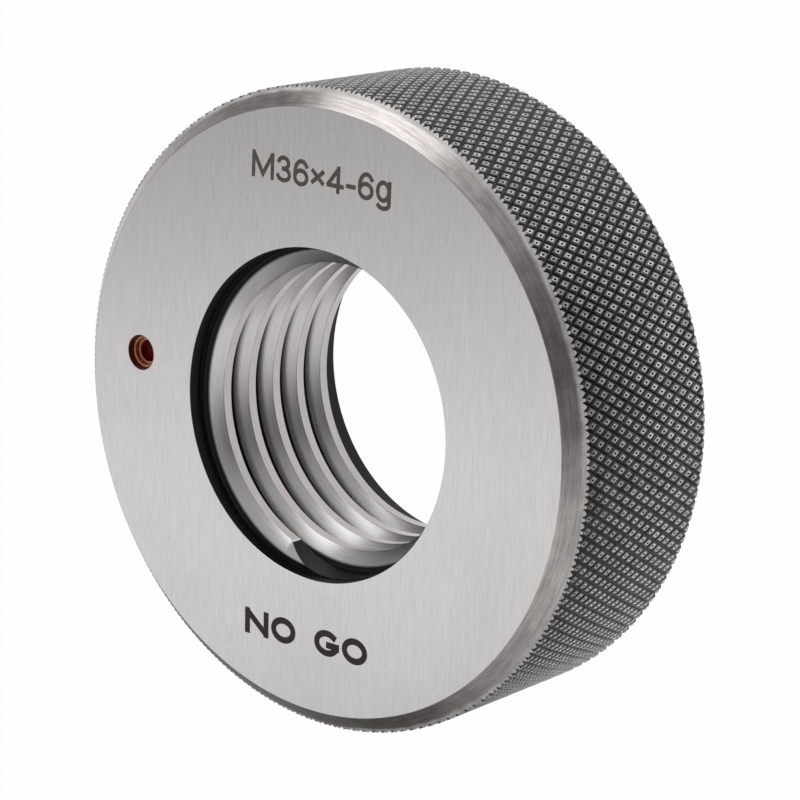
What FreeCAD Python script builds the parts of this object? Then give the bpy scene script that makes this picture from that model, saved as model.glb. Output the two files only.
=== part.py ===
# Thread ring gauge: a hardened steel ring whose bore carries the thread that a screw is checked against.
# The ring lies on its plain back face, the bore's axis is Z, the marked face is up and the marker is on -X.
import FreeCAD, Part
import math
import os
import re
import Sketcher
from FreeCAD import Vector

# Driving sizes, in millimetres and degrees
SIZES = [
    ("outer_diameter", 70.2, "over the tips of the knurl"),
    ("ring_width", 24.0, "between the two ground faces"),
    ("bevel_radial", 2.1, "edge bevel, measured across the face"),
    ("bevel_axial", 2.0, "edge bevel, measured along the axis"),
    ("recess_clearance", 0.15, "how far the plain counterbore at each end is cut outside the thread"),
    ("recess_depth", 1.5, "depth of each counterbore"),
    ("thread_pitch", 4.0, "right-hand thread, one start"),
    ("thread_major", 36.0, "diameter at the roots of the groove"),
    ("thread_depth", 2.0, "of the groove, from its roots in to the crests, which lie on a true cylinder"),
    ("flank_angle", 60.0, "between the two flanks of the groove"),
    ("root_flat", 0.5, "width of the groove's floor"),
    ("crest_depth", 3.86, "from the marked face to the first crest on the marker's side"),
    ("start_angle", 258.5, "where the first full crest begins, seen from the marked face"),
    ("start_runout", 24.0, "arc over which the cutter clears the crest down to the root"),
    ("start_cutter", 16.0, "diameter of that cutter"),
    ("knurl_depth", 0.5, "from tip to valley"),
    ("knurl_teeth", 92, "diamonds round the rim, coarser than the real ones to keep the shape light"),
    ("knurl_angle", 30.0, "of the crossing grooves to the axis"),
    ("marker_inset", 9.26, "from the knurl's tips in to the marker's centre"),
    ("marker_mouth", 4.0, "diameter of the marker's recess at the face"),
    ("marker_mouth_depth", 0.8, "depth of that first step"),
    ("marker_step", 3.3, "diameter of the second step"),
    ("marker_step_depth", 1.3, "from the face to the second step's floor"),
    ("marker_drill", 2.7, "diameter of the drilled hole below the steps"),
    ("marker_drill_depth", 2.4, "from the face to the drill's shoulder"),
    ("drill_point", 118.0, "angle of the drill's tip"),
    ("lacquer_film", 0.12, "thickness of the lacquer that lines the marker's recess"),
    ("lacquer_rim", 0.1, "from the face down to the lacquer's edge"),
    ("lacquer_pool", 0.35, "height of the lacquer over the drill's shoulder"),
    ("cutter_margin", 1.0, "how far a cutter or a blank runs past what it shapes"),
]
QUARTERS = 4

doc = FreeCAD.newDocument("thread_ring_gauge")
sheet = doc.addObject("Spreadsheet::Sheet", "sizes")
for row, (alias, value, note) in enumerate(SIZES, start=1):
    sheet.set("A%d" % row, alias)
    sheet.set("B%d" % row, str(value))
    sheet.set("C%d" % row, note)
    sheet.setAlias("B%d" % row, alias)
doc.recompute()

ALIAS = re.compile(r"\b(%s)\b" % "|".join(alias for alias, _, _ in SIZES))


def size(expression):
    """The value now of an expression in the sheet's words."""
    return float(sheet.evalExpression(expression))


def bind(feature, prop, expression):
    """Ties a property to an expression in the sheet's words."""
    feature.setExpression(prop, ALIAS.sub(r"sizes.\1", expression))


def new_sketch(body, name, role):
    """A sketch on one of the body's own origin planes."""
    sketch = body.newObject("Sketcher::SketchObject", name)
    plane = next(f for f in body.Origin.OriginFeatures if f.Role == role)
    sketch.AttachmentSupport = [(plane, "")]
    sketch.MapMode = "FlatFace"
    return sketch


def hold_point(sketch, edge, end, across, up):
    """Holds one end of a sketch edge at a place given by two expressions."""
    for kind, expression in (("DistanceX", across), ("DistanceY", up)):
        datum = Sketcher.Constraint(kind, -1, 1, edge, end, size(expression))
        index = sketch.addConstraint(datum)
        bind(sketch, "Constraints[%d]" % index, expression)


def draw_outline(sketch, corners):
    """A closed outline of straight edges, each corner a pair of expressions."""
    places = [Vector(size(across), size(up), 0) for across, up in corners]
    count = len(places)
    for i in range(count):
        sketch.addGeometry(Part.LineSegment(places[i], places[(i + 1) % count]), False)
    for i in range(count):
        sketch.addConstraint(Sketcher.Constraint("Coincident", i, 2, (i + 1) % count, 1))
    for i, (across, up) in enumerate(corners):
        hold_point(sketch, i, 1, across, up)


def draw_axis(sketch, across):
    """An upright construction line, which a revolved feature names as its axis."""
    foot = Vector(size(across), 0, 0)
    top = Vector(size(across), size("ring_width"), 0)
    index = sketch.addGeometry(Part.LineSegment(foot, top), True)
    hold_point(sketch, index, 1, across, "0")
    hold_point(sketch, index, 2, across, "ring_width")


def revolve(body, kind, name, sketch, axis):
    feature = body.newObject(kind, name)
    feature.Profile = sketch
    feature.ReferenceAxis = (sketch, [axis])
    feature.Angle = 360
    feature.Refine = False
    doc.recompute()
    return feature


# The ring's blank: two ground faces, a rim with room for the knurl and a counterbore at each end
BLANK_RADIUS = "(outer_diameter / 2 + cutter_margin)"
RECESS_RADIUS = "(thread_major / 2 + recess_clearance)"
CREST_RADIUS = "(thread_major / 2 - thread_depth)"
PILOT_RADIUS = "(thread_major / 2 - thread_depth - cutter_margin)"

ring = doc.addObject("PartDesign::Body", "turned_ring")
section = new_sketch(ring, "ring_section", "XZ_Plane")
draw_outline(section, [
    (RECESS_RADIUS, "0"),
    (BLANK_RADIUS, "0"),
    (BLANK_RADIUS, "ring_width"),
    (RECESS_RADIUS, "ring_width"),
    (RECESS_RADIUS, "ring_width - recess_depth"),
    (PILOT_RADIUS, "ring_width - recess_depth"),
    (PILOT_RADIUS, "recess_depth"),
    (RECESS_RADIUS, "recess_depth"),
])
turned = revolve(ring, "PartDesign::Revolution", "turned", section, "V_Axis")

# The bore at the thread's crests, drawn as four quarter arcs so that its wall is four faces
bore_sketch = new_sketch(ring, "bore_section", "XY_Plane")
for quarter in range(QUARTERS):
    begin = quarter * math.pi / 2
    circle = Part.Circle(Vector(0, 0, 0), Vector(0, 0, 1), size(CREST_RADIUS))
    bore_sketch.addGeometry(Part.ArcOfCircle(circle, begin, begin + math.pi / 2), False)
for quarter in range(QUARTERS):
    following = (quarter + 1) % QUARTERS
    bore_sketch.addConstraint(Sketcher.Constraint("Coincident", quarter, 2, following, 1))
    side, rise = ((1, 0), (0, 1), (-1, 0), (0, -1))[quarter]
    hold_point(bore_sketch, quarter, 1, "%d * %s" % (side, CREST_RADIUS), "%d * %s" % (rise, CREST_RADIUS))
    radius = bore_sketch.addConstraint(Sketcher.Constraint("Radius", quarter, size(CREST_RADIUS)))
    bind(bore_sketch, "Constraints[%d]" % radius, CREST_RADIUS)
bore = ring.newObject("PartDesign::Pocket", "bore")
bore.Profile = bore_sketch
bore.Type = "ThroughAll"
bore.Midplane = True
bore.Refine = False
doc.recompute()

# The marker's recess: two shallow steps and a drilled hole
MARKER_AXIS = "(marker_inset - outer_diameter / 2)"
MOUTH_WALL = "(marker_inset - outer_diameter / 2 - marker_mouth / 2)"
STEP_WALL = "(marker_inset - outer_diameter / 2 - marker_step / 2)"
DRILL_WALL = "(marker_inset - outer_diameter / 2 - marker_drill / 2)"
MOUTH_FLOOR = "(ring_width - marker_mouth_depth)"
STEP_FLOOR = "(ring_width - marker_step_depth)"
SHOULDER = "(ring_width - marker_drill_depth)"
DRILL_TIP = "(ring_width - marker_drill_depth - marker_drill / 2 / tan(drill_point / 2))"
RECESS_WALL = [
    (MOUTH_WALL, MOUTH_FLOOR),
    (STEP_WALL, MOUTH_FLOOR),
    (STEP_WALL, STEP_FLOOR),
    (DRILL_WALL, STEP_FLOOR),
    (DRILL_WALL, SHOULDER),
    (MARKER_AXIS, DRILL_TIP),
]
marker_sketch = new_sketch(ring, "marker_section", "XZ_Plane")
draw_outline(marker_sketch, [
    (MARKER_AXIS, "ring_width + cutter_margin"),
    (MOUTH_WALL, "ring_width + cutter_margin"),
] + RECESS_WALL)
draw_axis(marker_sketch, MARKER_AXIS)
marker = revolve(ring, "PartDesign::Groove", "marker_recess", marker_sketch, "Axis0")

# The lacquer that lines the marker's recess, thin on the walls and pooled in the drilled hole
lacquer = doc.addObject("PartDesign::Body", "marker_lacquer")
lacquer_sketch = new_sketch(lacquer, "lacquer_section", "XZ_Plane")
draw_outline(lacquer_sketch, [(MOUTH_WALL, "ring_width - lacquer_rim")] + RECESS_WALL + [
    (MARKER_AXIS, "%s + lacquer_pool" % SHOULDER),
    ("%s + lacquer_film" % DRILL_WALL, "%s + lacquer_pool" % SHOULDER),
    ("%s + lacquer_film" % DRILL_WALL, "%s + lacquer_film" % STEP_FLOOR),
    ("%s + lacquer_film" % STEP_WALL, "%s + lacquer_film" % STEP_FLOOR),
    ("%s + lacquer_film" % STEP_WALL, "%s + lacquer_film" % MOUTH_FLOOR),
    ("%s + lacquer_film" % MOUTH_WALL, "%s + lacquer_film" % MOUTH_FLOOR),
    ("%s + lacquer_film" % MOUTH_WALL, "ring_width - lacquer_rim"),
])
draw_axis(lacquer_sketch, MARKER_AXIS)
revolve(lacquer, "PartDesign::Revolution", "lacquer_lining", lacquer_sketch, "Axis0")

# The thread: one helical groove that runs out into both counterbores
CREST_AT_X = "(ring_width - crest_depth - thread_pitch / 2)"
GROOVE_MOUTH_RADIUS = "(thread_major / 2 - thread_depth - cutter_margin / 2)"
GROOVE_MOUTH_HALF = "(root_flat / 2 + (thread_major / 2 - %s) * tan(flank_angle / 2))" % GROOVE_MOUTH_RADIUS
TURNS_BELOW = "(ceil(%s / thread_pitch) + 1)" % CREST_AT_X
GROOVE_FROM = "(%s + thread_pitch / 2 - thread_pitch * %s)" % (CREST_AT_X, TURNS_BELOW)

groove_sketch = new_sketch(ring, "groove_section", "XZ_Plane")
draw_outline(groove_sketch, [
    (GROOVE_MOUTH_RADIUS, "%s - %s" % (GROOVE_FROM, GROOVE_MOUTH_HALF)),
    ("thread_major / 2", "%s - root_flat / 2" % GROOVE_FROM),
    ("thread_major / 2", "%s + root_flat / 2" % GROOVE_FROM),
    (GROOVE_MOUTH_RADIUS, "%s + %s" % (GROOVE_FROM, GROOVE_MOUTH_HALF)),
])
thread = ring.newObject("PartDesign::SubtractiveHelix", "thread_groove")
thread.Profile = groove_sketch
thread.ReferenceAxis = (groove_sketch, ["V_Axis"])
thread.Mode = "pitch-height-angle"
thread.Refine = False
bind(thread, "Pitch", "thread_pitch")
bind(thread, "Height", "ring_width + 4 * thread_pitch")
doc.recompute()


def crest_height(angle):
    """Height of the first crest's middle at an angle, seen from the marked face."""
    return size("ring_width - crest_depth") + size("thread_pitch") * (angle - 180) / 360


def blunt_start_cutter():
    """What is milled off where the thread would start as a feather edge: a scoop, then the rest of the turn."""
    pitch = size("thread_pitch")
    root = size("(thread_major + recess_clearance) / 2")
    inner = size(PILOT_RADIUS)
    above = size("ring_width + cutter_margin")
    full_depth = size("start_angle + start_runout")
    scoop_floor = crest_height(full_depth - size("start_runout") / 2) - pitch / 2
    scoop_radius = size("start_cutter / 2")
    scoop = Part.makeCylinder(scoop_radius, above - scoop_floor, Vector(root - scoop_radius, 0, scoop_floor))
    scoop.rotate(Vector(0, 0, 0), Vector(0, 0, 1), full_depth)

    # the floor that the thin end stands on lies half a pitch above its crest at the latest
    last = 180 + 360 * (size("crest_depth - recess_depth") + pitch / 2) / pitch
    turn = Part.makeHelix(pitch, pitch * (last - full_depth) / 360, root)
    low = Vector(inner, 0, -pitch / 2)
    corners = [low, Vector(root, 0, -pitch / 2), Vector(root, 0, pitch / 2), Vector(inner, 0, pitch / 2), low]
    rest = Part.Wire(turn.Edges).makePipeShell([Part.makePolygon(corners)], True, True)
    rest.rotate(Vector(0, 0, 0), Vector(0, 0, 1), full_depth)
    rest.translate(Vector(0, 0, crest_height(full_depth)))
    return scoop.fuse(rest)


def half_turned(shape):
    """The same shape at the ring's other end: turned half round about a level line that maps the thread on itself."""
    pitch = size("thread_pitch")
    width = size("ring_width")
    line_angle = math.radians((width - 2 * crest_height(0)) % pitch * 180 / pitch)
    line = Vector(math.cos(line_angle), math.sin(line_angle), 0)
    return shape.rotated(Vector(0, 0, width / 2), line, 180)


marked_end = doc.addObject("Part::Feature", "start_cutter_marked_end")
marked_end.Shape = blunt_start_cutter()
plain_end = doc.addObject("Part::Feature", "start_cutter_plain_end")
plain_end.Shape = half_turned(marked_end.Shape)


def at_step(radius, step, height):
    """A point that lies a number of half teeth round the axis."""
    angle = step * math.pi / round(size("knurl_teeth"))
    return Vector(radius * math.cos(angle), radius * math.sin(angle), height)


def flat(*points):
    return Part.Face(Part.makePolygon(list(points) + [points[0]]))


def knurled_form():
    """A closed form whose rim is tiled with four-sided points, longer than the ring so that its bevels trim it."""
    teeth = round(size("knurl_teeth"))
    tip = size("outer_diameter / 2")
    valley = tip - size("knurl_depth")
    row_height = tip * math.pi / teeth / math.tan(math.radians(size("knurl_angle")))
    rows = math.ceil(size("ring_width") / row_height) + 2
    bottom = (size("ring_width") - row_height * (rows - 1)) / 2
    faces = []
    for row_number in range(rows):
        low, level, high = [bottom + row_height * (row_number + shift) for shift in (-1, 0, 1)]
        for tooth in range(teeth):
            middle = 2 * tooth + row_number % 2
            point = at_step(tip, middle, level)
            valleys = [
                at_step(valley, middle - 1, level),
                at_step(valley, middle, low),
                at_step(valley, middle + 1, level),
                at_step(valley, middle, high),
            ]
            for first, second in zip(valleys, valleys[1:] + valleys[:1]):
                faces.append(flat(first, second, point))
    for row_number, beyond in ((0, -1), (rows - 1, rows)):
        level = bottom + row_height * row_number
        end_level = bottom + row_height * beyond
        hub = Vector(0, 0, end_level)
        for tooth in range(teeth):
            middle = 2 * tooth + row_number % 2
            end = at_step(valley, middle, end_level)
            faces.append(flat(hub, at_step(valley, middle - 1, level), end))
            faces.append(flat(hub, end, at_step(valley, middle + 1, level)))
    return Part.Solid(Part.Shell(faces))


def bevelled_form():
    """A closed form with both edge bevels, one flat to each half tooth, which meet the knurl in straight edges."""
    sides = 2 * round(size("knurl_teeth"))
    face_radius = size("outer_diameter / 2 - bevel_radial")
    width = size("ring_width")
    rise = size("bevel_axial * (bevel_radial + cutter_margin) / bevel_radial")
    rim = size(BLANK_RADIUS)
    outline = [(face_radius, 0), (rim, rise), (rim, width - rise), (face_radius, width)]
    loops = [[at_step(radius, step, height) for step in range(sides)] for radius, height in outline]
    faces = [flat(*loops[0]), flat(*loops[-1])]
    for lower, upper in zip(loops, loops[1:]):
        for step in range(sides):
            after = (step + 1) % sides
            faces.append(flat(lower[step], lower[after], upper[after], upper[step]))
    return Part.Solid(Part.Shell(faces))


knurl = doc.addObject("Part::Feature", "knurl_form")
knurl.Shape = knurled_form()
bevels = doc.addObject("Part::Feature", "bevel_form")
bevels.Shape = bevelled_form()


def cut_from(label, base, tool):
    cut = doc.addObject("Part::Cut", label)
    cut.Base = base
    cut.Tool = tool
    cut.Refine = False
    return cut


one_start = cut_from("thread_start", ring, marked_end)
both_starts = cut_from("thread_ends", one_start, plain_end)
gauge_ring = doc.addObject("Part::MultiCommon", "gauge_ring")
gauge_ring.Shapes = [both_starts, knurl, bevels]
gauge_ring.Refine = False
doc.recompute()

# Nothing is written unless every feature built and every cut took material away
for entry in doc.Objects:
    if "Invalid" in entry.State or "Error" in entry.State:
        raise RuntimeError("%s did not build" % entry.Label)
stages = [turned, bore, marker, thread, one_start, both_starts, gauge_ring]
for before, after in zip(stages, stages[1:]):
    if not 0 < after.Shape.Volume < before.Shape.Volume - 1:
        raise RuntimeError("%s removed nothing" % after.Label)

os.makedirs("parts", exist_ok=True)
for node, piece in (("gauge_ring", gauge_ring), ("marker_lacquer", lacquer)):
    piece.Label = node
    if piece.Shape.isNull() or not piece.Shape.isValid() or len(piece.Shape.Solids) != 1:
        raise RuntimeError("%s is not one valid solid" % node)
    piece.Shape.exportStep("parts/%s.step" % node)
    box = piece.Shape.optimalBoundingBox(False)
    print("%s: %.1f cubic mm, %.2f x %.2f x %.2f mm" % (node, piece.Shape.Volume, box.XLength, box.YLength, box.ZLength))
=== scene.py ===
import math

import bpy
from bpy.props import FloatProperty, FloatVectorProperty, IntProperty, PointerProperty, StringProperty
from mathutils import Matrix, Vector


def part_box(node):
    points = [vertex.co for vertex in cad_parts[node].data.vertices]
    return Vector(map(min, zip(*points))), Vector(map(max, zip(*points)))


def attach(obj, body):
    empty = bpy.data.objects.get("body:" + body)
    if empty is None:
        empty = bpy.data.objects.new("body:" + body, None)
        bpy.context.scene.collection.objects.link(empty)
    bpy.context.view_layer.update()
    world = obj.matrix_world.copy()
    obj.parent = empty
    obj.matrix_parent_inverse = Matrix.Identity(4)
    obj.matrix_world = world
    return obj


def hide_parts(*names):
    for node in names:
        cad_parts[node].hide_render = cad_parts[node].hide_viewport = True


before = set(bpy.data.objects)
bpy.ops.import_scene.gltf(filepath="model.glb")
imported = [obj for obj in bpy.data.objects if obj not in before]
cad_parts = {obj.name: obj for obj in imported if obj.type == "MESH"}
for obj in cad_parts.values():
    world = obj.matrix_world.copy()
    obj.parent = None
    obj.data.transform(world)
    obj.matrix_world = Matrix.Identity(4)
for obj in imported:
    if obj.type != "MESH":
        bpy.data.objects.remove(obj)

bl_info = {
    "name": "Thread ring gauge",
    "version": (1, 0, 0),
    "blender": (4, 5, 0),
    "location": "3D View > Sidebar > Ring gauge",
    "description": "Builds a knurled thread ring gauge and the studio it stands in",
    "category": "Object",
}

BODY = "root"
RING_NODE = "gauge_ring"
COAT_NODE = "marker_lacquer"
RING_LOW, RING_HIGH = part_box(RING_NODE)
RING_RADIUS = (RING_HIGH[0] - RING_LOW[0]) / 2
RING_WIDTH = RING_HIGH[2] - RING_LOW[2]
COAT_LOW, COAT_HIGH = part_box(COAT_NODE)
MARKER_PLACE = (COAT_LOW[0] + COAT_HIGH[0]) / 2
MARKER_MOUTH = (COAT_HIGH[1] - COAT_LOW[1]) / 2
TURN = 2 * math.pi
MM = 0.001
THREAD_STEPS = 240
SCOOP_STEPS = 192
MARKER_STEPS = 72
# How far cutting tools reach past the ring, and the thread's groove into its open bore
MARGIN = 1 * MM
CLEARANCE = 0.5 * MM
DRILL_POINT = math.radians(118)
# Letters: degrees between an arc's points, and how far strokes that cross lie apart, as a share of the film
ARC_STEP = 9
HAIR = 1 / 40
# Sorting the ring's faces: normals count as level, upright or on a bevel by their Z; distances are in metres
LEVEL, UPRIGHT, BEVELLED = 0.999, 0.1, 0.6
TINY = 0.01 * MM
NEAR = 0.02 * MM
BORE_MARGIN = 0.09 * MM
# Edges that are sharper than so many degrees aren't smoothed
FACE_SMOOTH, BORE_SMOOTH, COAT_SMOOTH = 8, 20, 25
# The Mix node's sockets for colours
MIX_FIRST, MIX_SECOND, MIX_RESULT = 6, 7, 2
# Fineness of the marks across and along them, in cells a metre; where they run round an axis, the second is in
# cells a unit on a circle of radius 1
FACE_GRAIN, FACE_BANDS = (7000, 420), (2600, 150)
BEVEL_MARKS, BEVEL_BANDS = (15000, 14), (4000, 5)
FLANK_MARKS, CREST_MARKS = (9000, 5), (7000, 8)
TOOL_LINES = (6000, 20)
LACQUER_RINGS = (7000, 2)
# Fineness of the mottling, in cells a metre
FACE_CLOUD, BEVEL_CLOUD, KNURL_MOTTLE, ETCHING_MOTTLE, LACQUER_MOTTLE = 70, 420, 900, 1500, 1800
# The bevel grows lighter between these distances from the rim, which wander by so much: a rough burr whose
# lighter colour is a painted highlight
BURR_HIGHLIGHT_EDGE = (0.6 * MM, 0.2 * MM)
BURR_HIGHLIGHT_WANDER = 0.3 * MM
# The thread's looks change over these distances: crest to flank, ground to black, black to a lighter line. The
# blend from ground to black is widened into painted shade toward the roots
CREST_SKIN = (0.02 * MM, 0.05 * MM)
ROOT_SHADE_BLEND = 0.35 * MM
ROOT_LINE = (0.15 * MM, 0.25 * MM)
# Cosines from the middle of the floor's shaded side, at which the shade begins and is full
SHADE_EDGE = (-0.25, 0.15)
# Lighter and darker parts of the surround: a direction, a second one along which the part is longer and by how
# many times, the angles in degrees out to which it is full and where it has faded out, and the change of light
SURROUND = (
    ((-0.595, -0.352, 0.73), (0.77, 0.03, 0.65), 5.0, 2.5, 7, 0.82),
    ((0.33, -0.32, 0.89), (1, 0, 0), 1.0, 12, 34, 0.35),
    ((0.64, 0.30, 0.71), (0, 0, 1), 1.0, 14, 40, -0.32),
    ((-0.35, -0.92, -0.05), (0, 0, 1), 1.0, 14, 42, -0.30),
    ((-0.93, 0.36, 0.00), (0, 0, 1), 1.0, 12, 34, -0.27),
    ((0.60, -0.60, 0.50), (0, 0, 1), 1.0, 8, 30, 0.15),
)


def length(name, description, default):
    return FloatProperty(name=name, description=description, default=default, unit="LENGTH", precision=6)


def number(name, description, default):
    return FloatProperty(name=name, description=description, default=default)


def angle(name, description, default):
    return FloatProperty(name=name, description=description, default=math.radians(default), unit="ROTATION")


def triple(name, description, default, subtype):
    return FloatVectorProperty(name=name, description=description, default=default, subtype=subtype)


def colour(name, description, default):
    return FloatVectorProperty(
        name=name, description=description, default=default, subtype="COLOR", size=3, min=0, max=1
    )


class RingSizes(bpy.types.PropertyGroup):
    outer_radius: length("Outer radius", "Over the flats of the knurl", RING_RADIUS)
    width: length("Width", "Between the two ground faces", RING_WIDTH)
    bevel_radial: length("Bevel across", "Edge bevel, measured across the face", 2.1 * MM)
    bevel_axial: length("Bevel along", "Edge bevel, measured along the axis", 2.0 * MM)
    burr: length("Burr", "Width of the burr on the bevel's outer edge, left by the knurl", 0.2 * MM)
    burr_fall: length("Burr fall", "How far the burr falls off outward", 0.13 * MM)
    edge_break: length("Edge break", "Small flat on the face's outer and inner edges", 0.03 * MM)
    crest_break: length("Crest break", "Small flat on the edges of the thread's crests", 0.07 * MM)
    ground_depth: length("Ground depth", "How far out from the crests the thread's flanks are ground", 1.6 * MM)
    recess_radius: length("Recess radius", "Plain counterbore at each end of the thread", 18.15 * MM)
    recess_depth: length("Recess depth", "Depth of each counterbore", 1.5 * MM)
    crest_radius: length("Crest radius", "Bore over the thread's crests", 16.0 * MM)
    root_radius: length("Root radius", "Thread groove at its floor", 18.0 * MM)
    root_flat: length("Root flat", "Width of the groove's floor", 0.5 * MM)
    pitch: length("Pitch", "Right-hand thread, one start", 4.0 * MM)
    flank_angle: angle("Flank angle", "Between the two flanks of the groove", 60.0)
    crest_depth: length("Crest depth", "From the marked face to the first crest at the marker", 3.86 * MM)
    start_angle: angle("Start", "Where the first full crest begins", 258.5)
    start_runout: angle("Start runout", "Arc over which the crest is milled away", 24.0)
    start_radius: length("Start cutter", "Radius of the cutter that mills the start", 8.0 * MM)
    marker_place: length("Marker place", "The marker's centre along X", MARKER_PLACE)
    marker_mouth: length("Marker mouth", "Radius of the marker's recess at the face", MARKER_MOUTH)
    marker_mouth_depth: length("Marker mouth depth", "Depth of the first step", 0.8 * MM)
    marker_step: length("Marker step", "Radius of the second step", 1.65 * MM)
    marker_step_depth: length("Marker step depth", "From the face to the second step", 1.3 * MM)
    marker_drill: length("Marker drill", "Radius of the drilled hole", 1.35 * MM)
    marker_drill_depth: length("Marker drill depth", "From the face to the drill's shoulder", 2.4 * MM)
    lacquer_film: length("Lacquer film", "Thickness of the marker's lacquer", 0.12 * MM)
    lacquer_pool: length("Lacquer pool", "Depth of the lacquer over the drill's shoulder", 0.35 * MM)
    lacquer_rim: length("Lacquer rim", "How far below the face the lacquer begins", 0.1 * MM)


class KnurlSizes(bpy.types.PropertyGroup):
    teeth: IntProperty(name="Diamonds", description="Diamonds round the rim", default=160, min=24)
    depth: length("Depth", "From the flats to the grooves", 0.3 * MM)
    groove_angle: angle("Groove angle", "Crossing grooves to the axis", 29.46)
    shift: length("Shift", "How far the rows of diamonds are moved along the axis", -0.28 * MM)
    turn: angle("Turn", "How far the rows of diamonds are moved round the axis", -0.62)
    foot: number("Foot", "Size of a diamond's foot, as a share of its cell", 0.96)
    shoulder: number("Shoulder", "Size of a diamond's top, as a share of its cell", 0.70)
    shoulder_depth: length("Shoulder depth", "How far the top's edges are worn below its flat", 0.05 * MM)
    flat: number("Flat", "Size of a diamond's flat, as a share of its cell", 0.44)
    dimple: number("Dimple", "Size of the pit in a flat, as a share of its cell", 0.24)
    dimple_depth: length("Dimple depth", "Depth of the pit in a flat", 0.14 * MM)


class MarkingSizes(bpy.types.PropertyGroup):
    grain_turn: angle("Grain turn", "How far the ground faces' grain is turned from Y", 6.5)
    film: length("Film", "How proud the etched film stands, for the renderer's sake", 0.006 * MM)
    size_text: StringProperty(name="Size marking", description="The thread's size", default="M36×4-6g")
    size_turn: angle("Size marking turn", "How far its baseline is turned from X", 4.3)
    size_left: length("Size marking left", "Left end, from the axis", -9.9 * MM)
    size_foot: length("Size marking foot", "Baseline, from the axis", 24.46 * MM)
    size_rise: length("Size marking height", "Height of its capitals", 2.88 * MM)
    size_pen: number("Size marking pen", "Stroke, as a share of the height", 0.165)
    size_wide: number("Size marking width", "How much its letters are widened", 1.2)
    size_gap: number("Size marking gap", "Between letters, as a share of the height", 0.1)
    kind_text: StringProperty(name="Kind marking", description="The gauge's kind", default="NO GO")
    kind_turn: angle("Kind marking turn", "How far its baseline is turned from X", 6.0)
    kind_left: length("Kind marking left", "Left end, from the axis", -9.55 * MM)
    kind_foot: length("Kind marking foot", "Baseline, from the axis", -26.3 * MM)
    kind_rise: length("Kind marking height", "Height of its capitals", 2.95 * MM)
    kind_pen: number("Kind marking pen", "Stroke, as a share of the height", 0.25)
    kind_wide: number("Kind marking width", "How much its letters are widened", 1.84)
    kind_gap: number("Kind marking gap", "Between letters, as a share of the height", 0.13)


class Finishes(bpy.types.PropertyGroup):
    ground_steel: colour("Ground steel", "Ground faces", (0.62, 0.612, 0.617))
    bevel_steel: colour("Bevel steel", "Turned bevels", (0.585, 0.55, 0.54))
    # The burr's lighter colour is a painted highlight on a real burr
    burr_highlight_steel: colour("Burr steel", "Bevels where they break into the knurl", (0.85, 0.82, 0.80))
    crest_steel: colour("Crest steel", "Lapped crests of the thread", (0.49, 0.465, 0.455))
    flank_steel: colour("Flank steel", "Ground flanks of the thread", (0.66, 0.655, 0.65))
    black_steel: colour("Black steel", "Unground hardened steel", (0.005, 0.005, 0.005))
    knurl_groove: colour("Knurl grooves", "Blackened grooves of the knurl", (0.125, 0.123, 0.125))
    knurl_pit: colour("Knurl pits", "Blackened pits in the knurl's flats", (0.02, 0.02, 0.021))
    knurl_shoulder: colour("Knurl shoulders", "Worn edges of the knurl's flats", (0.16, 0.157, 0.158))
    knurl_flat: colour("Knurl flats", "Bright flats of the knurl", (0.58, 0.575, 0.58))
    size_etching: colour("Size etching", "Etched size marking", (0.125, 0.100, 0.080))
    kind_etching: colour("Kind etching", "Etched kind marking, burnt darker", (0.032, 0.024, 0.020))
    lacquer: colour("Lacquer", "The marker's lacquer", (0.20, 0.014, 0.016))
    # The tan over the steps' edges is thin lacquer over steel and partly a painted highlight
    lacquer_rim: colour("Lacquer rim", "Lacquer where it thins over the steps", (0.98, 0.46, 0.22))
    # The near black on the outer wall is painted shade in the recess
    lacquer_wall_shade: colour("Lacquer wall", "Lacquer on the recess's outer wall", (0.09, 0.007, 0.003))


class StudioSettings(bpy.types.PropertyGroup):
    camera_place: triple("Camera", "Where the camera stands", (0.19029, 0.09851, 0.24979), "XYZ")
    camera_turn: triple("Camera turn", "The camera's rotation", (-0.229322, 0.698424, 0.132793), "EULER")
    focal_length: number("Focal length", "In mm", 131.72)
    sensor_width: number("Sensor width", "In mm", 36)
    floor_size: length("Floor", "Side of the square floor", 6.0)
    floor_gap: length("Floor gap", "How far below the ring the floor lies, so the two don't coincide", 0.2 * MM)
    floor_tone: colour("Floor tone", "Colour of the floor under the light", (0.8, 0.8, 0.8))
    floor_glow: number("Floor glow", "Share of the floor that is plain backdrop", 0.985)
    floor_far: number("Far floor", "Level of the far floor in reflections", 0.3)
    fade_start: length("Fade start", "Where the floor begins to fade in reflections, from the axis", 50 * MM)
    fade_end: length("Fade end", "Where that fading ends, from the axis", 160 * MM)
    floor_side: number("Shaded floor", "Level of its shaded side in reflections", 0.25)
    shade_way: angle("Shade way", "Middle of the shaded side, from X", -53.13)
    shade_start: length("Shade start", "Where that shade begins, from the axis", 43 * MM)
    shade_end: length("Shade end", "Where that shade is full, from the axis", 54 * MM)
    backdrop: colour("Backdrop", "Colour of the floor and the world behind", (1.0, 1.0, 1.0))
    world_level: number("Surround", "Level of the light from around", 0.45)
    world_tint: colour("Surround tint", "Tint of the light from around", (1.0, 0.985, 0.975))
    panel_place: triple("Panel", "Where the soft panel hangs", (-0.30, 0.56, 0.30), "XYZ")
    panel_size: length("Panel size", "Side of the soft panel", 0.45)
    panel_power: number("Panel power", "In watts", 0.8)


# Mesh building


def new_object(name, vertices, faces):
    mesh = bpy.data.meshes.new(name)
    mesh.from_pydata(vertices, [], faces)
    mesh.update()
    piece = bpy.data.objects.new(name, mesh)
    bpy.context.scene.collection.objects.link(piece)
    return piece


def discard(*objects):
    for item in objects:
        mesh = item.data
        bpy.data.objects.remove(item)
        bpy.data.meshes.remove(mesh)


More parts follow.
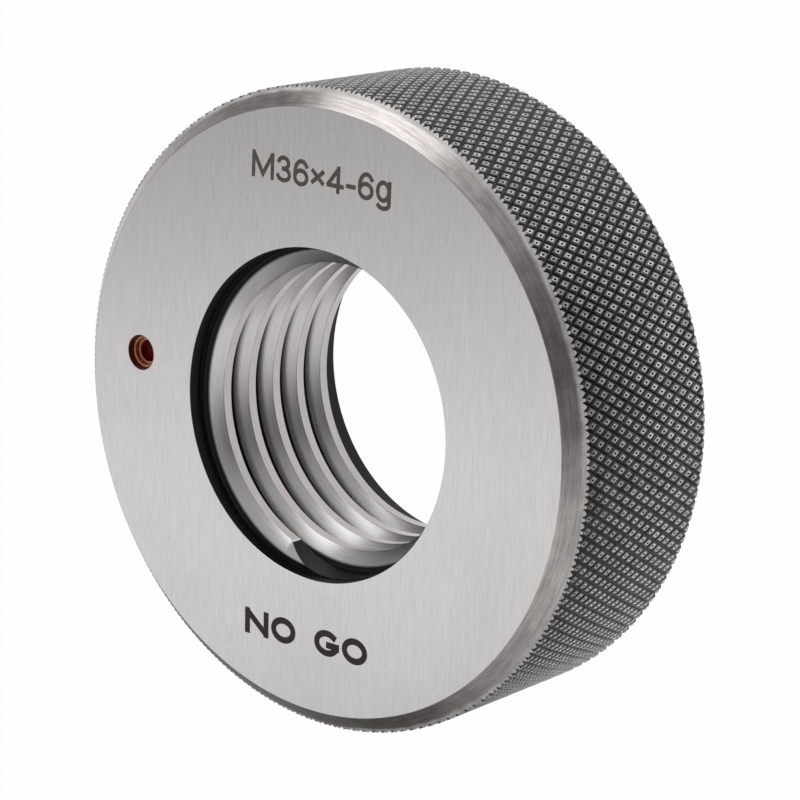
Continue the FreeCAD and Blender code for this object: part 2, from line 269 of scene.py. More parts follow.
def turned_solid(name, outline, segments, centre=(0.0, 0.0)):
    """A closed solid of revolution from a counterclockwise outline of (radius, height)."""
    vertices, loops = [], []
    for radius, height in outline:
        if radius == 0:
            loops.append([len(vertices)] * segments)
            vertices.append((centre[0], centre[1], height))
            continue
        loops.append(list(range(len(vertices), len(vertices) + segments)))
        for step in range(segments):
            turn = TURN * step / segments
            vertices.append((centre[0] + radius * math.cos(turn), centre[1] + radius * math.sin(turn), height))
    faces = []
    for low, high in zip(loops, loops[1:] + loops[:1]):
        for step in range(segments):
            after = (step + 1) % segments
            corners = list(dict.fromkeys([low[step], low[after], high[after], high[step]]))
            if len(corners) > 2:
                faces.append(corners)
    return new_object(name, vertices, faces)


def helical_solid(name, profile, pitch, first, last, steps_per_turn):
    """A closed solid: a counterclockwise profile of (radius, height) carried along a helix."""
    count = math.ceil((last - first) / TURN * steps_per_turn)
    size = len(profile)
    vertices, faces = [], []
    for step in range(count + 1):
        turn = first + (last - first) * step / count
        for radius, height in profile:
            rise = height + pitch * turn / TURN
            vertices.append((radius * math.cos(turn), radius * math.sin(turn), rise))
    for step in range(count):
        for k in range(size):
            near, after = step * size + k, step * size + (k + 1) % size
            faces.append((near, near + size, after + size, after))
    faces.append(list(range(size)))
    faces.append(list(range(count * size, count * size + size))[::-1])
    return new_object(name, vertices, faces)


def knurled_solid(name, sizes, knurl):
    """A closed form whose rim is tiled with flat-topped diamonds, each with a small pit in its flat."""
    half_tooth = math.pi / knurl.teeth
    tip = sizes.outer_radius
    valley = tip - knurl.depth
    row = tip * half_tooth / math.tan(knurl.groove_angle)
    rows = math.ceil(sizes.width / row) + 3
    bottom = (sizes.width - row * (rows - 1)) / 2 + knurl.shift
    vertices, faces, shared = [], [], {}

    def place(radius, across, up):
        turn = across * half_tooth + knurl.turn
        vertices.append((radius * math.cos(turn), radius * math.sin(turn), bottom + up * row))
        return len(vertices) - 1

    def corner(across, up):
        key = (across % (2 * knurl.teeth), up)
        if key not in shared:
            shared[key] = place(valley, *key)
        return shared[key]

    around = ((-1, 0), (0, -1), (1, 0), (0, 1))
    for j in range(rows):
        for tooth in range(knurl.teeth):
            i = 2 * tooth + j % 2
            rings = [[corner(i + dx, j + dy) for dx, dy in around]]
            worn = tip - knurl.shoulder_depth
            levels = ((knurl.foot, valley), (knurl.shoulder, worn), (knurl.flat, tip), (knurl.dimple, tip))
            for share, radius in levels:
                rings.append([place(radius, i + share * dx, j + share * dy) for dx, dy in around])
            for outer, inner in zip(rings, rings[1:]):
                for k in range(4):
                    faces.append((outer[k], outer[(k + 1) % 4], inner[(k + 1) % 4], inner[k]))
            pit = place(tip - knurl.dimple_depth, i, j)
            for k in range(4):
                faces.append((rings[-1][k], rings[-1][(k + 1) % 4], pit))
    for j, beyond in ((0, -1), (rows - 1, rows)):
        hub = place(0.0, 0, beyond)
        for tooth in range(knurl.teeth):
            i = 2 * tooth + j % 2
            left, end, right = corner(i - 1, j), corner(i, beyond), corner(i + 1, j)
            for first, second in ((left, end), (end, right)):
                faces.append((hub, second, first) if beyond < 0 else (hub, first, second))
    return new_object(name, vertices, faces)


def arc(centre_x, centre_y, wide, tall, first, last):
    """Points on an ellipse between two angles in degrees."""
    count = math.ceil(abs(last - first) / ARC_STEP)
    turns = [math.radians(first + (last - first) * step / count) for step in range(count + 1)]
    return [(centre_x + wide * math.cos(turn), centre_y + tall * math.sin(turn)) for turn in turns]


# Each letter's width and the middle lines of its strokes, as shares of a capital's height
LETTERS = {
    "M": (0.93, [[(0, 0), (0, 1)], [(0.93, 0), (0.93, 1)], [(0.03, 0.97), (0.465, 0.1), (0.9, 0.97)]]),
    "3": (0.58, [arc(0.28, 0.755, 0.24, 0.245, 160, -90), arc(0.29, 0.255, 0.29, 0.255, 90, -160)]),
    "6": (0.58, [arc(0.29, 0.285, 0.29, 0.3, 0, 360), [(0, 0.285)] + arc(0.31, 0.48, 0.31, 0.52, 180, 40)]),
    "×": (0.52, [[(0.03, 0.22), (0.49, 0.68)], [(0.03, 0.68), (0.49, 0.22)]]),
    "4": (0.65, [[(0.46, 0), (0.46, 1)], [(0.44, 0.95), (0, 0.28)], [(0, 0.23), (0.65, 0.23)]]),
    "-": (0.3, [[(0, 0.33), (0.3, 0.33)]]),
    "g": (0.545, [
        arc(0.26, 0.41, 0.26, 0.385, 0, 360),
        [(0.545, 0.79)] + arc(0.285, -0.14, 0.26, 0.18, 0, -155),
    ]),
    "N": (0.68, [[(0, 0), (0, 1)], [(0.68, 0), (0.68, 1)], [(0.02, 0.97), (0.66, 0.03)]]),
    "O": (0.7, [arc(0.35, 0.5, 0.35, 0.5, 0, 360)]),
    "G": (0.7, [arc(0.35, 0.5, 0.35, 0.5, 48, 325), [(0.42, 0.42), (0.7, 0.42), (0.7, 0.36)]]),
    " ": (0.3, []),
}


def ribbon(line, pen):
    """The two edges of a stroke along a line: joints mitred, and open ends square and half a pen longer."""
    points = [Vector(point) for point in line]
    closed = (points[0] - points[-1]).length < pen / 100
    if closed:
        points.pop()
    edges = []
    for k, point in enumerate(points):
        ways = []
        if closed or k > 0:
            ways.append((point - points[k - 1]).normalized())
        if closed or k + 1 < len(points):
            ways.append((points[(k + 1) % len(points)] - point).normalized())
        along = sum(ways, Vector((0, 0))).normalized()
        across = Vector((-along.y, along.x)) * pen / 2 / along.dot(ways[0])
        if len(ways) == 1:
            point = point + along * (pen / 2 if k else -pen / 2)
        edges.append((point - across, point + across))
    return edges + edges[:1] if closed else edges


def carve(body, operation, *tools):
    for tool in tools:
        cut = body.modifiers.new(tool.name, "BOOLEAN")
        cut.operation = operation
        cut.solver = "MANIFOLD"
        cut.object = tool


def settled(piece):
    """The mesh that an object's modifiers make."""
    graph = bpy.context.evaluated_depsgraph_get()
    return bpy.data.meshes.new_from_object(piece.evaluated_get(graph))


def crest_height(sizes, turn):
    """Height of the first crest's middle at an angle, seen from the marked face."""
    return sizes.width - sizes.crest_depth + sizes.pitch * (turn - math.pi) / TURN


def groove_solid(sizes):
    """The thread's groove, long enough to leave the ring at both ends, that breaks each crest's edges."""
    mouth = sizes.crest_radius - CLEARANCE
    half = sizes.root_flat / 2
    broken = sizes.crest_radius + sizes.crest_break
    spread = half + (sizes.root_radius - broken) * math.tan(sizes.flank_angle / 2)
    opening = spread + sizes.crest_break
    middle = crest_height(sizes, 0) - sizes.pitch / 2
    side = [(mouth, opening), (sizes.crest_radius, opening), (broken, spread), (sizes.root_radius, half)]
    lower = [(radius, middle - rise) for radius, rise in side]
    upper = [(radius, middle + rise) for radius, rise in reversed(side)]
    profile = lower + upper
    turns_down = math.ceil(middle / sizes.pitch) + 1
    turns_up = math.ceil((sizes.width - middle) / sizes.pitch) + 1
    return helical_solid("groove", profile, sizes.pitch, -turns_down * TURN, turns_up * TURN, THREAD_STEPS)


def start_solids(sizes):
    """What is milled off where the thread would end as a feather edge: a scoop and the rest of that turn."""
    full = sizes.start_angle + sizes.start_runout
    root = (sizes.root_radius + sizes.recess_radius) / 2
    floor = crest_height(sizes, full - sizes.start_runout / 2) - sizes.pitch / 2
    reach = root - sizes.start_radius
    above = sizes.width + MARGIN
    scoop = turned_solid(
        "start_scoop",
        [(0, floor), (sizes.start_radius, floor), (sizes.start_radius, above), (0, above)],
        SCOOP_STEPS,
        (reach * math.cos(full), reach * math.sin(full)),
    )
    inner = sizes.crest_radius - MARGIN
    base = crest_height(sizes, 0)
    half = sizes.pitch / 2
    profile = [(inner, base - half), (root, base - half), (root, base + half), (inner, base + half)]
    last = math.pi + TURN * (sizes.crest_depth - sizes.recess_depth + half) / sizes.pitch
    rest = helical_solid("start_rest", profile, sizes.pitch, full, last, THREAD_STEPS)
    return scoop, rest


def half_turned(sizes, solid):
    """A copy for the other end, half turned about the level line that maps the thread on itself."""
    line_turn = (sizes.width - 2 * crest_height(sizes, 0)) % sizes.pitch / sizes.pitch * math.pi
    centre = Vector((0, 0, sizes.width / 2))
    line = Vector((math.cos(line_turn), math.sin(line_turn), 0))
    copy = solid.copy()
    copy.data = solid.data.copy()
    move = Matrix.Translation(centre) @ Matrix.Rotation(math.pi, 4, line) @ Matrix.Translation(-centre)
    copy.data.transform(move)
    bpy.context.scene.collection.objects.link(copy)
    return copy


def blank_solid(sizes, segments):
    """The ring as turned: bevels, edge breaks, recesses and a bore at the thread's crests."""
    face = sizes.outer_radius - sizes.bevel_radial
    rim = sizes.outer_radius + MARGIN
    nick = sizes.edge_break
    slope = sizes.bevel_axial / sizes.bevel_radial
    raised = sizes.outer_radius - sizes.burr
    foot = (sizes.bevel_radial - sizes.burr) * slope
    half = [
        (sizes.crest_radius, sizes.recess_depth),
        (sizes.recess_radius, sizes.recess_depth),
        (sizes.recess_radius, nick),
        (sizes.recess_radius + nick, 0.0),
        (face - nick, 0.0),
        (face + nick, nick * slope),
        (raised, foot),
        (rim, foot + sizes.burr_fall * (sizes.burr + MARGIN) / sizes.burr),
    ]
    other = [(radius, sizes.width - height) for radius, height in reversed(half)]
    return turned_solid("ring_blank", half + other, segments)


def marker_outline(sizes, top):
    """The marker's recess up to a height, from its drilled bottom."""
    tip = sizes.marker_drill / math.tan(DRILL_POINT / 2)
    high = sizes.width
    return [
        (0, high - sizes.marker_drill_depth - tip),
        (sizes.marker_drill, high - sizes.marker_drill_depth),
        (sizes.marker_drill, high - sizes.marker_step_depth),
        (sizes.marker_step, high - sizes.marker_step_depth),
        (sizes.marker_step, high - sizes.marker_mouth_depth),
        (sizes.marker_mouth, high - sizes.marker_mouth_depth),
        (sizes.marker_mouth, top),
        (0, top),
    ]


# Shading


class Value:
    """A shader socket on which Python's arithmetic adds Math nodes."""

    def __init__(self, graph, socket):
        self.graph, self.socket = graph, socket

    def math(self, operation, *others):
        return self.graph.math(operation, self, *others)

    def __add__(self, other):
        return self.math("ADD", other)

    __radd__ = __add__

    def __mul__(self, other):
        return self.math("MULTIPLY", other)

    __rmul__ = __mul__

    def __sub__(self, other):
        return self.math("SUBTRACT", other)

    def __rsub__(self, other):
        return self.graph.math("SUBTRACT", other, self)


class Graph:
    """The nodes of a material or a world, made by one method."""

    def __init__(self, owner):
        owner.use_nodes = True
        self.owner, self.tree = owner, owner.node_tree
        self.tree.nodes.clear()

    def add(self, kind, settings=None, sockets=None, output=0):
        node = self.tree.nodes.new("ShaderNode" + kind)
        for key, value in (settings or {}).items():
            setattr(node, key, value)
        for key, value in (sockets or {}).items():
            if isinstance(value, Value):
                self.tree.links.new(value.socket, node.inputs[key])
            else:
                node.inputs[key].default_value = value
        return Value(self, node.outputs[output]) if node.outputs else node

    def math(self, operation, *values):
        return self.add("Math", {"operation": operation}, dict(enumerate(values)))

    def vector(self, operation, *values, output=0):
        return self.add("VectorMath", {"operation": operation}, dict(enumerate(values)), output)

    def mix(self, share, first, second):
        """Two colours mixed."""
        first, second = [tone if isinstance(tone, Value) else rgba(tone) for tone in (first, second)]
        sockets = {0: share, MIX_FIRST: first, MIX_SECOND: second}
        return self.add("Mix", {"data_type": "RGBA"}, sockets, MIX_RESULT)

    def scaled(self, tone, factor):
        """A colour made lighter or darker, or a vector made longer or shorter."""
        start = tone if isinstance(tone, Value) else tuple(tone)
        return self.add("VectorMath", {"operation": "SCALE"}, {"Vector": start, "Scale": factor})

    def ramp(self, value, low, high, first=0.0, second=1.0):
        """A value taken smoothly from one range to another."""
        settings = {"interpolation_type": "SMOOTHSTEP"}
        return self.add("MapRange", settings, {0: value, 1: low, 2: high, 3: first, 4: second})

    def place(self):
        return self.add("TexCoord", output="Object")

    def parts(self, vector):
        node = self.add("SeparateXYZ", sockets={0: vector}).socket.node
        return [Value(self, socket) for socket in node.outputs]

    def join(self, x, y, z):
        return self.add("CombineXYZ", sockets={0: x, 1: y, 2: z})

    def noise(self, vector, scale, detail=2.0, roughness=0.5):
        sockets = {"Vector": vector, "Scale": scale, "Detail": detail, "Roughness": roughness}
        return self.add("TexNoise", {"noise_dimensions": "3D"}, sockets, "Fac")

    def streaks(self, x, y, z, roughness=0.5):
        """Noise over coordinates that are already stretched."""
        return self.noise(self.join(x, y, z), 1.0, roughness=roughness)

    def turned(self, x, y):
        """The distance from the axis, and a place on a unit circle round it."""
        across = self.join(x, y, 0.0)
        radius = self.vector("LENGTH", across, output="Value")
        round_x, round_y, _ = self.parts(self.vector("NORMALIZE", across))
        return radius, round_x, round_y

    def bump(self, height, strength, distance):
        sockets = {"Height": height, "Strength": strength, "Distance": distance}
        return self.add("Bump", sockets=sockets, output="Normal")

    def surface(self, sockets):
        shader = self.add("BsdfPrincipled", sockets=sockets)
        self.add("OutputMaterial", sockets={"Surface": shader})
        return self.owner


def rgba(value):
    return tuple(value) + (1.0,)


def material_graph(name):
    return Graph(bpy.data.materials.new(name))


def ground_face_finish(looks, turn):
    """Surface ground steel with straight fine grain along the markings' upright."""
    graph = material_graph("ground_face_finish")
    spun = graph.add("VectorRotate", {"rotation_type": "Z_AXIS"}, {"Vector": graph.place(), "Angle": -turn})
    x, y, z = graph.parts(spun)
    across, along = FACE_GRAIN
    fine = graph.streaks(x * across, y * along, z * along, roughness=0.6)
    across, along = FACE_BANDS
    broad = graph.streaks(x * across, y * along, 0.0)
    cloud = graph.noise(graph.place(), FACE_CLOUD, 3.0, 0.55)
    grain = fine * 0.65 + broad * 0.35
    return graph.surface({
        "Base Color": graph.scaled(looks.ground_steel, graph.ramp(grain, 0.3, 0.7, 0.93, 1.05)),
        "Metallic": 1.0,
        "Roughness": 0.21 + cloud * 0.06,
        "Normal": graph.bump(grain, 0.08, 0.00002),
    })


def bevel_finish(looks, sizes):
    """Turned steel, mottled, with fine marks round the axis, and lighter where it breaks into the knurl: a
    rough burr whose lighter colour is a painted highlight.
    """
    graph = material_graph("bevel_finish")
    place = graph.place()
    x, y, _ = graph.parts(place)
    radius, round_x, round_y = graph.turned(x, y)
    across, along = BEVEL_MARKS
    marks = graph.streaks(round_x * along, round_y * along, radius * across, roughness=0.6)
    across, along = BEVEL_BANDS
    broad = graph.streaks(round_x * along, round_y * along, radius * across)
    cloud = graph.noise(place, BEVEL_CLOUD, 3.0, 0.6)
    shade = graph.ramp(marks * 0.6 + broad * 0.4, 0.35, 0.65, 0.76, 1.14)
    shade = shade * graph.ramp(cloud, 0.35, 0.65, 0.9, 1.06)
    near, far = [sizes.outer_radius - depth for depth in BURR_HIGHLIGHT_EDGE]
    # The burr's lighter colour stands in for glints: a painted highlight
    burr = graph.ramp(radius + cloud * BURR_HIGHLIGHT_WANDER, near, far)
    return graph.surface({
        "Base Color": graph.scaled(graph.mix(burr, looks.bevel_steel, looks.burr_highlight_steel), shade),
        "Metallic": 1.0,
        "Roughness": 0.2 + cloud * 0.12 + burr * 0.35,
        "Normal": graph.bump(marks, 0.25, 0.00002),
    })


def thread_finish(looks, sizes):
    """Ground flanks and lapped crests, and black unground steel past the flanks' ground part, blended in over a
    wide band as painted shade toward the roots.
    """
    graph = material_graph("thread_finish")
    x, y, z = graph.parts(graph.place())
    radius, round_x, round_y = graph.turned(x, y)
    across, along = FLANK_MARKS
    flank_marks = graph.streaks(round_x * along, round_y * along, radius * across)
    across, along = CREST_MARKS
    crest_marks = graph.streaks(round_x * along, round_y * along, z * across)
    ground_end = sizes.crest_radius + sizes.ground_depth
    # Black past the ground part is unground steel; its soft, wide edge is painted root shade
    dark = graph.ramp(radius, ground_end - ROOT_SHADE_BLEND, ground_end)
    near, far = [sizes.crest_radius + depth for depth in CREST_SKIN]
    crest = graph.ramp(radius, near, far, 1.0, 0.0)
    shade = graph.ramp(flank_marks * (1 - crest) + crest_marks * crest, 0.3, 0.7, 0.92, 1.05)
    bright = graph.scaled(graph.mix(crest, looks.flank_steel, looks.crest_steel), shade)
    near, far = [ground_end + depth for depth in ROOT_LINE]
    black = graph.scaled(looks.black_steel, graph.ramp(radius, near, far, 1.0, 3.0))
    return graph.surface({
        "Base Color": graph.mix(dark, bright, black),
        "Metallic": 1 - dark,
        "Roughness": 0.22 + dark * 0.2 + flank_marks * 0.05,
        "Specular IOR Level": 0.2,
        "Normal": graph.bump(flank_marks, 0.06, 0.00001),
    })


def black_finish(looks):
    """Black hardened steel with fine tool lines."""
    graph = material_graph("black_finish")
    x, y, z = graph.parts(graph.place())
    across, along = TOOL_LINES
    lines = graph.streaks(x * along, y * along, z * across)
    return graph.surface({
        "Base Color": graph.scaled(looks.black_steel, graph.ramp(lines, 0.45, 0.75, 0.6, 5.0)),
        "Roughness": 0.34 + lines * 0.1,
        "Specular IOR Level": 0.2,
        "Normal": graph.bump(lines, 0.3, 0.00002),
    })


def knurl_finish(name, tone, metallic, roughness, variation):
    graph = material_graph(name)
    mottle = graph.noise(graph.place(), KNURL_MOTTLE, 3.0, 0.6)
    return graph.surface({
        "Base Color": graph.scaled(tone, graph.ramp(mottle, 0.3, 0.7, 1 - variation, 1 + variation)),
        "Metallic": metallic,
        "Roughness": roughness + mottle * 0.1,
        "Specular IOR Level": 0.35,
    })


def etching_finish(name, tone):
    graph = material_graph(name)
    mottle = graph.noise(graph.place(), ETCHING_MOTTLE, 3.0, 0.6)
    return graph.surface({
        "Base Color": graph.scaled(tone, graph.ramp(mottle, 0.3, 0.7, 0.8, 1.25)),
        "Metallic": 0.2,
        "Roughness": 0.5 + mottle * 0.1,
    })


def lacquer_finish(looks, sizes):
    """Dark red lacquer that thins to a coppery tan over each step, brightened into a painted highlight there,
    and painted shade, nearly black, on the outer wall.
    """
    graph = material_graph("lacquer_finish")
    x, y, _ = graph.parts(graph.place())
    radius, round_x, round_y = graph.turned(x - sizes.marker_place, y)
    across, along = LACQUER_RINGS
    rings = graph.streaks(round_x * along, round_y * along, radius * across)
    uneven = graph.noise(graph.place(), LACQUER_MOTTLE)
    tone = graph.scaled(looks.lacquer, graph.ramp(rings, 0.3, 0.7, 0.5, 1.6))
    film = sizes.lacquer_film
    # Where the lacquer thins over each step's edge it turns coppery tan, brightened into a painted highlight
    for edge in (sizes.marker_drill - film, sizes.marker_step - film):
        thin_and_glinting = graph.ramp(radius, edge + film / 12, edge + film / 4)
        thin_and_glinting = thin_and_glinting * graph.ramp(radius, edge + 0.8 * film, edge + 3 * film, 1.0, 0.1)
        tone = graph.mix(thin_and_glinting * graph.ramp(uneven, 0.3, 0.6, 0.55, 1.0), tone, looks.lacquer_rim)
    # The recess's outer wall and the edge of the first step are painted near black: painted shade
    wall_shade = graph.ramp(radius, sizes.marker_step + film, sizes.marker_mouth - film)
    return graph.surface({
        "Base Color": graph.mix(wall_shade, tone, looks.lacquer_wall_shade),
        "Roughness": 0.22 + rings * 0.1,
        "Specular IOR Level": 0.2,
        "Coat Weight": 0.08,
        "Normal": graph.bump(rings * 0.6 + uneven * 0.4, 1.0, 0.00008),
    })


# Pieces


def finish_piece(piece, node, slot, *materials):
    for material in materials:
        piece.data.materials.append(material)
    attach(piece, BODY)
    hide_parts(node)


def shade_by_angle(mesh, limit):
    mesh.shade_smooth()
    mesh.set_sharp_from_angle(angle=math.radians(limit))


def separated(source, name, faces_by_slot):
    """A piece made of some of a mesh's faces, with each group in its own material slot."""
    used, vertices, faces, slots = {}, [], [], []
    for slot, polygons in enumerate(faces_by_slot):
        for polygon in polygons:
            corners = []
            for index in polygon.vertices:
                if index not in used:
                    used[index] = len(vertices)
                    vertices.append(source.vertices[index].co[:])
                corners.append(used[index])
            faces.append(corners)
            slots.append(slot)
    piece = new_object(name, vertices, faces)
    piece.data.polygons.foreach_set("material_index", slots)
    return piece


class RINGGAUGE_OT_stage(bpy.types.Operator):
    """Adds the camera, the floor, the lamp and the world"""

    bl_idname = "ring_gauge.stage"
    bl_label = "Studio"

    def execute(self, context):
        studio, scene = context.scene.ring_studio, context.scene
        camera = bpy.data.objects.new("camera", bpy.data.cameras.new("camera"))
        camera.data.lens = studio.focal_length
        camera.data.sensor_width = studio.sensor_width
        camera.data.clip_start = 0.01
        camera.data.clip_end = 20
        camera.location = studio.camera_place
        camera.rotation_euler = studio.camera_turn
        scene.collection.objects.link(camera)
        scene.camera = camera
        self.lay_floor(studio)
        self.light_world(scene, studio)
        self.hang_panel(scene, studio)
        scene.view_settings.view_transform = "Standard"
        return {"FINISHED"}

    def lay_floor(self, studio):
        half, level = studio.floor_size / 2, -studio.floor_gap
        corners = [(x, y, level) for x, y in ((-half, -half), (half, -half), (half, half), (-half, half))]
        floor = new_object("studio_floor", corners, [(0, 1, 2, 3)])
        graph = material_graph("floor_finish")
        x, y, _ = graph.parts(graph.place())
        radius, round_x, round_y = graph.turned(x, y)
        # In reflections the floor carries painted light: a pool of light round the ring that fades outward, and
        # a painted shade on one side
        fading = graph.ramp(radius, studio.fade_start, studio.fade_end, 1.0, studio.floor_far)
        aside = round_x * math.cos(studio.shade_way) + round_y * math.sin(studio.shade_way)
        shaded = graph.ramp(aside, *SHADE_EDGE) * graph.ramp(radius, studio.shade_start, studio.shade_end)
        mirrored = graph.scaled(studio.backdrop, fading * (1 - shaded * (1 - studio.floor_side)))
        seen = graph.add("LightPath", output="Is Camera Ray")
        tone = graph.mix(seen, mirrored, studio.backdrop)
        for ray in ("Is Glossy Ray", "Is Transmission Ray"):
            seen = seen.math("MAXIMUM", graph.add("LightPath", output=ray))
        plain = graph.add("BsdfDiffuse", sockets={"Color": rgba(studio.floor_tone)})
        glow = graph.add("Emission", sockets={"Color": tone, "Strength": 1.0})
        both = graph.add("MixShader", sockets={0: seen * studio.floor_glow, 1: plain, 2: glow})
        graph.add("OutputMaterial", sockets={"Surface": both})
        floor.data.materials.append(graph.owner)

    def light_world(self, scene, studio):
        """A soft surround, lighter or darker toward some sides; the camera sees the plain backdrop instead."""
        scene.world = bpy.data.worlds.new("studio_world")
        graph = Graph(scene.world)
        way = graph.add("TexCoord", output="Generated")
        level = studio.world_level
        for toward, along, stretch, inner, outer, change in SURROUND:
            centre = Vector(toward).normalized()
            axis = (Vector(along) - centre * centre.dot(along)).normalized()
            aside = graph.vector("SUBTRACT", way, centre[:])
            lengthwise = graph.vector("DOT_PRODUCT", aside, axis[:], output="Value") * (1 - 1 / stretch)
            across = graph.vector("SUBTRACT", aside, graph.scaled(axis, lengthwise))
            span = graph.vector("LENGTH", across, output="Value")
            far, near = [2 * math.sin(math.radians(degrees / 2)) for degrees in (outer, inner)]
            level = graph.ramp(span, near, far, 1.0, 0.0) * change + level
        around = graph.add("Background", sockets={"Color": rgba(studio.world_tint), "Strength": level})
        seen = graph.add("LightPath", output="Is Camera Ray")
        behind = graph.add("Background", sockets={"Color": rgba(studio.backdrop), "Strength": 1.0})
        both = graph.add("MixShader", sockets={0: seen, 1: around, 2: behind})
        graph.add("OutputWorld", sockets={"Surface": both})

    def hang_panel(self, scene, studio):
        lamp = bpy.data.objects.new("soft_panel", bpy.data.lights.new("soft_panel", "AREA"))
        lamp.data.size = studio.panel_size
        lamp.data.energy = studio.panel_power
        lamp.location = studio.panel_place
        aim = Vector((0, 0, RING_WIDTH / 2)) - Vector(studio.panel_place)
        lamp.rotation_euler = aim.to_track_quat("-Z", "Y").to_euler()
        scene.collection.objects.link(lamp)


class RINGGAUGE_OT_ring(bpy.types.Operator):
    """Builds the knurled ring with its thread, recesses, bevels and marker recess"""

    bl_idname = "ring_gauge.ring"
    bl_label = "Ring"

    def execute(self, context):
        sizes, knurl = context.scene.ring_sizes, context.scene.ring_knurl
        blank = blank_solid(sizes, 2 * knurl.teeth)
        rim = knurled_solid("knurl_form", sizes, knurl)
        groove = groove_solid(sizes)
        starts = start_solids(sizes)
        ends = [half_turned(sizes, solid) for solid in starts]
        outline = marker_outline(sizes, sizes.width + MARGIN)
        marker = turned_solid("marker_cut", outline, MARKER_STEPS, (sizes.marker_place, 0.0))
        tools = [groove, *starts, *ends, marker]
        carve(blank, "INTERSECT", rim)
        carve(blank, "DIFFERENCE", *tools)
        mesh = settled(blank)
        if len(mesh.polygons) < knurl.teeth:
            raise RuntimeError("the ring's cuts left no mesh")
        self.split(context, mesh)
        discard(blank, rim, *tools)
        bpy.data.meshes.remove(mesh)
        return {"FINISHED"}

    def split(self, context, mesh):
        """Sorts the ring's faces into its finishes by where they lie."""
        scene = context.scene
        sizes, knurl, looks = scene.ring_sizes, scene.ring_knurl, scene.ring_finishes
        valley = sizes.outer_radius - knurl.depth
        face_radius = sizes.outer_radius - sizes.bevel_radial
        groups = {name: [] for name in (
            "marked_face", "marked_bevel", "back_face", "back_bevel", "rim_groove", "rim_shoulder", "rim_flat",
            "rim_pit", "bore", "black", "marker_wall",
        )}
        marker = Vector((sizes.marker_place, 0))
        for polygon in mesh.polygons:
            centre, normal = polygon.center, polygon.normal
            radius = centre.xy.length
            end = "marked" if centre.z > sizes.width / 2 else "back"
            level = abs(normal.z) > LEVEL and min(centre.z, sizes.width - centre.z) < TINY
            if (centre.xy - marker).length < sizes.marker_mouth + TINY and not level and end == "marked":
                groups["marker_wall"].append(polygon)
            elif level or sizes.recess_radius + TINY < radius < sizes.recess_radius + sizes.edge_break:
                groups[end + "_face"].append(polygon)
            elif radius < sizes.recess_radius - BORE_MARGIN:
                milled = abs(normal.z) < UPRIGHT and radius > sizes.crest_radius + sizes.crest_break + TINY
                groups["black" if milled else "bore"].append(polygon)
            elif radius < sizes.recess_radius + sizes.edge_break:
                groups["black"].append(polygon)
            elif abs(normal.z) > BEVELLED or radius < face_radius + 2 * sizes.edge_break:
                groups[end + "_bevel"].append(polygon)
            else:
                corners = [mesh.vertices[index].co.xy.length for index in polygon.vertices]
                if min(corners) > sizes.outer_radius - NEAR:
                    groups["rim_flat"].append(polygon)
                elif min(corners) > sizes.outer_radius - knurl.shoulder_depth - NEAR:
                    groups["rim_shoulder"].append(polygon)
                elif max(corners) > valley + TINY and radius > sizes.outer_radius - knurl.dimple_depth:
                    groups["rim_pit"].append(polygon)
                else:
                    groups["rim_groove"].append(polygon)
        face_finish = ground_face_finish(looks, scene.ring_markings.grain_turn)
        bevelled = bevel_finish(looks, sizes)
        black = black_finish(looks)
        for end in ("marked", "back"):
            slots = [groups[end + "_face"], groups[end + "_bevel"]]
            materials = [face_finish, bevelled]
            if end == "marked":
                slots.append(groups["marker_wall"])
                materials.append(black)
            piece = separated(mesh, end + "_face", slots)
            shade_by_angle(piece.data, FACE_SMOOTH)
            finish_piece(piece, RING_NODE, "ground_steel", *materials)
        names = ("rim_groove", "rim_shoulder", "rim_flat", "rim_pit")
        rim = separated(mesh, "knurled_rim", [groups[name] for name in names])
        dark = knurl_finish("knurl_groove_finish", looks.knurl_groove, 1.0, 0.28, 0.4)
        bright = knurl_finish("knurl_flat_finish", looks.knurl_flat, 1.0, 0.25, 0.35)
        pit = knurl_finish("knurl_pit_finish", looks.knurl_pit, 0.0, 0.45, 0.3)
        worn = knurl_finish("knurl_shoulder_finish", looks.knurl_shoulder, 1.0, 0.28, 0.4)
        finish_piece(rim, RING_NODE, "ground_steel", dark, worn, bright, pit)
        bore = separated(mesh, "threaded_bore", [groups["bore"], groups["black"]])
        shade_by_angle(bore.data, BORE_SMOOTH)
        finish_piece(bore, RING_NODE, "ground_steel", thread_finish(looks, sizes), black)


class RINGGAUGE_OT_marker(bpy.types.Operator):
    """Builds the coat of lacquer that lines the marker's recess"""

    bl_idname = "ring_gauge.marker"
    bl_label = "Marker"

    def execute(self, context):
        sizes, looks = context.scene.ring_sizes, context.scene.ring_finishes
        film, rim, pool = sizes.lacquer_film, sizes.lacquer_rim, sizes.lacquer_pool
        steel = marker_outline(sizes, sizes.width - rim)[:-1]
        floor = sizes.width - sizes.marker_drill_depth
        lining = [
            (sizes.marker_mouth - film, sizes.width - rim),
            (sizes.marker_mouth - film, sizes.width - sizes.marker_mouth_depth + film),
            (sizes.marker_step - film, sizes.width - sizes.marker_mouth_depth + film),
            (sizes.marker_step - film, sizes.width - sizes.marker_step_depth + film),
            (sizes.marker_drill - film, sizes.width - sizes.marker_step_depth + film),
            (sizes.marker_drill - film, floor + pool),
            (0, floor + pool),
        ]
        piece = turned_solid("marker_coat", steel + lining, MARKER_STEPS, (sizes.marker_place, 0.0))
        shade_by_angle(piece.data, COAT_SMOOTH)
        finish_piece(piece, COAT_NODE, "marker_lacquer", lacquer_finish(looks, sizes))
        return {"FINISHED"}


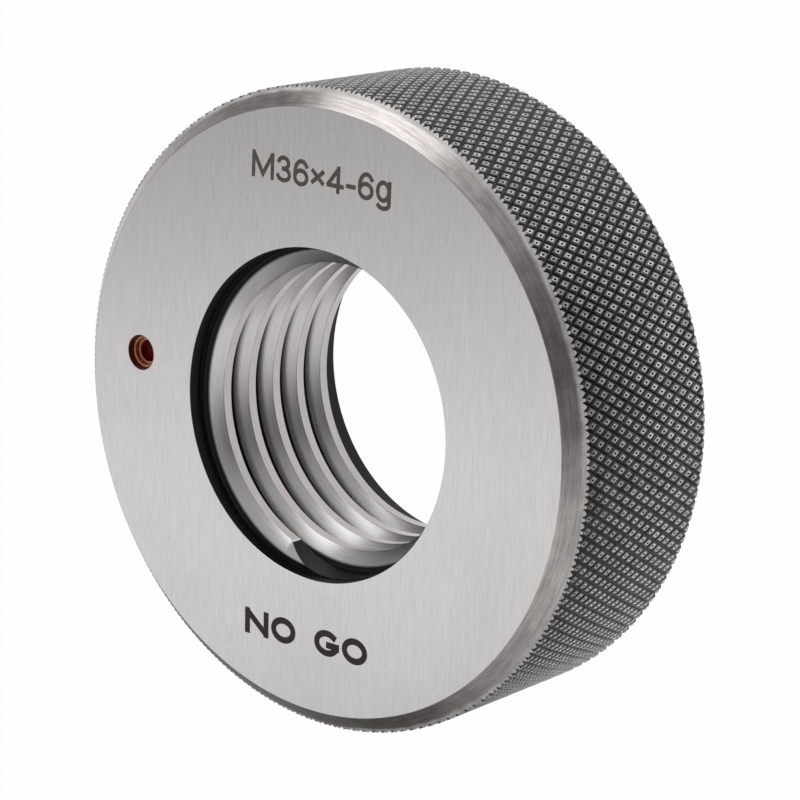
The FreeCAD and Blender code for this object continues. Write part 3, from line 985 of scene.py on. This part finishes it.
class RINGGAUGE_OT_markings(bpy.types.Operator):
    """Adds the etched size and kind on the marked face"""

    bl_idname = "ring_gauge.markings"
    bl_label = "Markings"

    def execute(self, context):
        marks, looks = context.scene.ring_markings, context.scene.ring_finishes
        for row, tone in (("size", looks.size_etching), ("kind", looks.kind_etching)):
            piece = self.lettered(row, marks)
            piece.data.materials.append(etching_finish(row + "_etching_finish", tone))
            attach(piece, BODY)
        return {"FINISHED"}

    def lettered(self, row, marks):
        """A row of letters as flat ribbons, each a hair higher than the last where they cross."""
        names = ("text", "left", "foot", "rise", "pen", "wide", "gap", "turn")
        text, left, foot, rise, pen, wide, gap, turn = [getattr(marks, row + "_" + name) for name in names]
        hair = marks.film * HAIR
        height = rise * (1 - pen)
        base = foot + pen * rise / 2
        vertices, faces = [], []
        for letter in text:
            width, strokes = LETTERS[letter]
            start = left + pen * rise / 2
            for order, stroke in enumerate(strokes):
                line = [(start + x * wide * height, base + y * height) for x, y in stroke]
                edges = ribbon(line, pen * rise)
                first = len(vertices)
                level = RING_WIDTH + marks.film + order * hair
                for low, high in edges:
                    vertices += [(low.x, low.y, level), (high.x, high.y, level)]
                for k in range(first, first + 2 * len(edges) - 2, 2):
                    faces.append((k, k + 2, k + 3, k + 1))
            left += width * wide * height + (pen + gap) * rise
        piece = new_object(row + "_marking", vertices, faces)
        piece.data.transform(Matrix.Rotation(turn, 4, "Z"))
        return piece


class RINGGAUGE_PT_panel(bpy.types.Panel):
    bl_idname = "RINGGAUGE_PT_panel"
    bl_label = "Ring gauge"
    bl_space_type = "VIEW_3D"
    bl_region_type = "UI"
    bl_category = "Ring gauge"

    def draw(self, context):
        for operator in OPERATORS:
            self.layout.operator(operator.bl_idname)
        for holder, group in GROUPS.items():
            box = self.layout.box()
            for name in group.__annotations__:
                box.prop(getattr(context.scene, holder), name)


OPERATORS = (RINGGAUGE_OT_stage, RINGGAUGE_OT_ring, RINGGAUGE_OT_marker, RINGGAUGE_OT_markings)
GROUPS = {
    "ring_sizes": RingSizes,
    "ring_knurl": KnurlSizes,
    "ring_markings": MarkingSizes,
    "ring_finishes": Finishes,
    "ring_studio": StudioSettings,
}


def register():
    for group in GROUPS.values():
        bpy.utils.register_class(group)
    for holder, group in GROUPS.items():
        setattr(bpy.types.Scene, holder, PointerProperty(type=group))
    for operator in OPERATORS:
        bpy.utils.register_class(operator)
    bpy.utils.register_class(RINGGAUGE_PT_panel)


def unregister():
    bpy.utils.unregister_class(RINGGAUGE_PT_panel)
    for operator in reversed(OPERATORS):
        bpy.utils.unregister_class(operator)
    for holder, group in GROUPS.items():
        delattr(bpy.types.Scene, holder)
        bpy.utils.unregister_class(group)


def main():
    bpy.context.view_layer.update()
    register()
    bpy.ops.ring_gauge.stage()
    bpy.ops.ring_gauge.ring()
    bpy.ops.ring_gauge.marker()
    bpy.ops.ring_gauge.markings()


if __name__ == "__main__":
    main()
